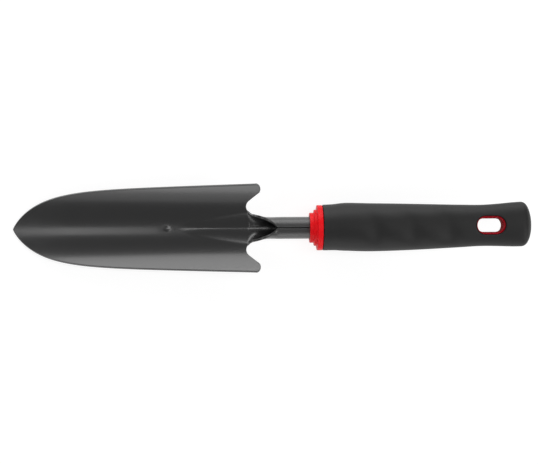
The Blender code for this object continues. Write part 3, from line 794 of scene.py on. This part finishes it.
def node(tree, kind, inputs=None, **settings):
    """Adds a node with its settings. An input is a value or the output socket to link."""
    made = tree.nodes.new(kind)
    for name, value in settings.items():
        setattr(made, name, value)
    for name, value in (inputs or {}).items():
        if isinstance(value, bpy.types.NodeSocket):
            tree.links.new(value, made.inputs[name])
        else:
            made.inputs[name].default_value = value
    return made


def new_material(name):
    """An empty node material. Returns it, its tree, its surface shader and object coordinates."""
    material = bpy.data.materials.new(name)
    material.use_nodes = True
    tree = material.node_tree
    shader = tree.nodes["Principled BSDF"]
    place = node(tree, "ShaderNodeTexCoord").outputs["Object"]
    return material, tree, shader, place


def drifting_colour(tree, shader, place, blotch, detail, dark, light):
    """Gives a base colour that drifts between two shades in blotches of a real size."""
    noise = node(tree, "ShaderNodeTexNoise", {"Vector": place, "Scale": 1 / blotch, "Detail": detail})
    ramp = node(tree, "ShaderNodeValToRGB", {"Fac": noise.outputs["Fac"]})
    for stop, colour in zip(ramp.color_ramp.elements, (dark, light)):
        stop.color = linear(colour)
    tree.links.new(ramp.outputs["Color"], shader.inputs["Base Color"])


def raised_grain(tree, place, size, detail, strength, depth, below=None):
    """The normal of an even grain of a real size, raised on top of the one below it."""
    noise = node(tree, "ShaderNodeTexNoise", {"Vector": place, "Scale": 1 / size, "Detail": detail})
    bump = node(tree, "ShaderNodeBump", {
        "Height": noise.outputs["Fac"], "Strength": strength, "Distance": depth})
    if below:
        tree.links.new(below, bump.inputs["Normal"])
    return bump.outputs["Normal"]


def powder_coat():
    """Black polyester powder, sprayed on the pressed steel and baked: a semi-gloss black skin."""
    material, tree, shader, place = new_material("black_powder_coated_steel")
    drifting_colour(tree, shader, place, blotch=18 * MM, detail=3, dark="#1b1b1c", light="#222222")
    # The melted powder leaves a faint orange peel 2 mm across, which breaks up the edges of highlights
    peel = raised_grain(tree, place, size=2.2 * MM, detail=2, strength=0.25, depth=0.05 * MM)
    # Single grains of powder are about 0.05 mm across, and are drawn coarser so that they show
    grain = raised_grain(tree, place, size=0.6 * MM, detail=1, strength=0.15, depth=0.02 * MM, below=peel)
    tree.links.new(grain, shader.inputs["Normal"])
    # Soil rubs the nose dull in blotches, and handling dulls the shank evenly
    along = node(tree, "ShaderNodeSeparateXYZ", {"Vector": place}).outputs["X"]
    nose, shank = [
        node(tree, "ShaderNodeMapRange", {
            "Value": along, "From Min": start, "From Max": end, "To Max": fullest}).outputs["Result"]
        for (start, end), fullest in ((NOSE_WEAR, NOSE_DULLNESS), (SHANK_WEAR, SHANK_DULLNESS))]
    blotches = node(tree, "ShaderNodeTexNoise", {"Vector": place, "Scale": 1 / (3.5 * MM), "Detail": 3})
    patchy = node(tree, "ShaderNodeMath", {0: nose, 1: blotches.outputs["Fac"]}, operation="MULTIPLY")
    worn = node(tree, "ShaderNodeMath", {0: patchy.outputs[0], 1: shank}, operation="ADD")
    for name, (fresh, rubbed) in (("Roughness", BODY_ROUGHNESS), ("Coat Roughness", SKIN_ROUGHNESS)):
        mixed = node(tree, "ShaderNodeMapRange", {
            "Value": worn.outputs[0], "To Min": fresh, "To Max": rubbed})
        tree.links.new(mixed.outputs["Result"], shader.inputs[name])
    shader.inputs["IOR"].default_value = 1.5
    shader.inputs["Coat Weight"].default_value = 1.0
    return material


def red_plastic(name, dark, light, roughness, specular):
    """Red polypropylene, injection moulded: a satin red with a faint flow drift in its colour, or a
    darker, rougher copy whose darker colours are painted shade.
    """
    material, tree, shader, place = new_material(name)
    drifting_colour(tree, shader, place, blotch=9 * MM, detail=2, dark=dark, light=light)
    # The mould's fine texture is about 0.1 mm, and is drawn coarser so that it shows
    grain = raised_grain(tree, place, size=0.5 * MM, detail=1, strength=0.2, depth=0.02 * MM)
    tree.links.new(grain, shader.inputs["Normal"])
    shader.inputs["Roughness"].default_value = roughness
    shader.inputs["IOR"].default_value = 1.49
    shader.inputs["Specular IOR Level"].default_value = specular
    return material


def black_rubber():
    """Black thermoplastic rubber from a spark-eroded mould: matt, with a soft sheen and a fine grain."""
    material, tree, shader, place = new_material("black_thermoplastic_rubber")
    drifting_colour(tree, shader, place, blotch=14 * MM, detail=3, dark="#171717", light="#1b1b1b")
    # The eroded grain is about 0.1 mm, and is drawn coarser so that it shows
    grain = raised_grain(tree, place, size=0.45 * MM, detail=2, strength=0.35, depth=0.04 * MM)
    tree.links.new(grain, shader.inputs["Normal"])
    shader.inputs["Roughness"].default_value = 0.56
    shader.inputs["IOR"].default_value = 1.52
    shader.inputs["Specular IOR Level"].default_value = 0.36
    return material


def make_floor():
    """A plain pale table that glows to the camera, so that it shows white, and keeps the shadow."""
    mesh = bmesh.new()
    bmesh.ops.create_grid(mesh, x_segments=2, y_segments=2, size=FLOOR_SIDE / 2)
    data = bpy.data.meshes.new("table")
    mesh.to_mesh(data)
    mesh.free()
    floor = bpy.data.objects.new("table", data)
    floor.location.z = -FLOOR_DROP
    bpy.context.scene.collection.objects.link(floor)
    material = bpy.data.materials.new("white_table")
    material.use_nodes = True
    tree = material.node_tree
    tree.nodes.remove(tree.nodes["Principled BSDF"])
    path = node(tree, "ShaderNodeLightPath")
    seen = path.outputs["Is Camera Ray"]
    for ray in ("Is Glossy Ray", "Is Transmission Ray"):
        either = node(tree, "ShaderNodeMath", {0: seen, 1: path.outputs[ray]}, operation="MAXIMUM")
        seen = either.outputs[0]
    glow = node(tree, "ShaderNodeMath", {0: seen, 1: FLOOR_GLOW}, operation="MULTIPLY")
    light = node(tree, "ShaderNodeEmission", {"Color": (1, 1, 1, 1), "Strength": glow.outputs[0]})
    paint = node(tree, "ShaderNodeBsdfDiffuse", {"Color": (FLOOR_PAINT, FLOOR_PAINT, FLOOR_PAINT, 1)})
    both = node(tree, "ShaderNodeAddShader", {0: light.outputs[0], 1: paint.outputs[0]})
    tree.links.new(both.outputs[0], tree.nodes["Material Output"].inputs["Surface"])
    data.materials.append(material)


def soft_light(name, place, target, size, level):
    """A soft box: an area lamp of size (across, up) at a place, facing the target."""
    data = bpy.data.lights.new(name, "AREA")
    data.shape = "RECTANGLE"
    data.size, data.size_y = size
    data.energy = level * size[0] * size[1] * math.pi
    lamp = bpy.data.objects.new(name, data)
    lamp.location = place
    lamp.rotation_euler = (Vector(target) - Vector(place)).to_track_quat("-Z", "Y").to_euler()
    bpy.context.scene.collection.objects.link(lamp)


def light_scene():
    """Long soft boxes on both sides, a strip above the rear half, a small ceiling patch, and fill."""
    for lamp in LAMPS:
        soft_light(*lamp)
    world = bpy.data.worlds.new("studio")
    world.use_nodes = True
    world.node_tree.nodes["Background"].inputs["Color"].default_value = (1, 1, 1, 1)
    world.node_tree.nodes["Background"].inputs["Strength"].default_value = WORLD_LEVEL
    bpy.context.scene.world = world
    bpy.context.scene.view_settings.view_transform = "Standard"


def make_camera():
    """The photograph's view: from above, tipped towards the blade's end."""
    data = bpy.data.cameras.new("camera")
    data.sensor_width = SENSOR_WIDTH
    data.lens = CAMERA_DISTANCE / (MM_PER_PIXEL * MM * PICTURE_WIDTH) * SENSOR_WIDTH
    camera = bpy.data.objects.new("camera", data)
    back = Vector((-math.sin(CAMERA_TILT), 0, math.cos(CAMERA_TILT)))
    level = Vector((math.cos(CAMERA_TILT), 0, math.sin(CAMERA_TILT)))
    across = Vector((0, 1, 0))
    right = level * math.cos(CAMERA_ROLL) - across * math.sin(CAMERA_ROLL)
    up = level * math.sin(CAMERA_ROLL) + across * math.cos(CAMERA_ROLL)
    turn = Matrix((right, up, back)).transposed().to_4x4()
    place = Matrix.Translation(Vector(CAMERA_AIM) + back * CAMERA_DISTANCE)
    camera.matrix_world = TOOL @ place @ turn
    bpy.context.scene.collection.objects.link(camera)
    bpy.context.scene.camera = camera


make_blade(powder_coat())
make_core(red_plastic("satin_red_polypropylene", "#ea0614", "#f30b19", roughness=0.42, specular=0.2))
# The slot's lining is the same red polypropylene as the collar, with painted shade: its colours are
# darker to stand for the shade inside the slot, and it is rougher and reflects less.
make_lining(red_plastic("red_polypropylene_painted_shade", "#a80c1c", "#b41022", roughness=0.7, specular=0.06))
make_grip(black_rubber())
make_floor()
light_scene()
make_camera()
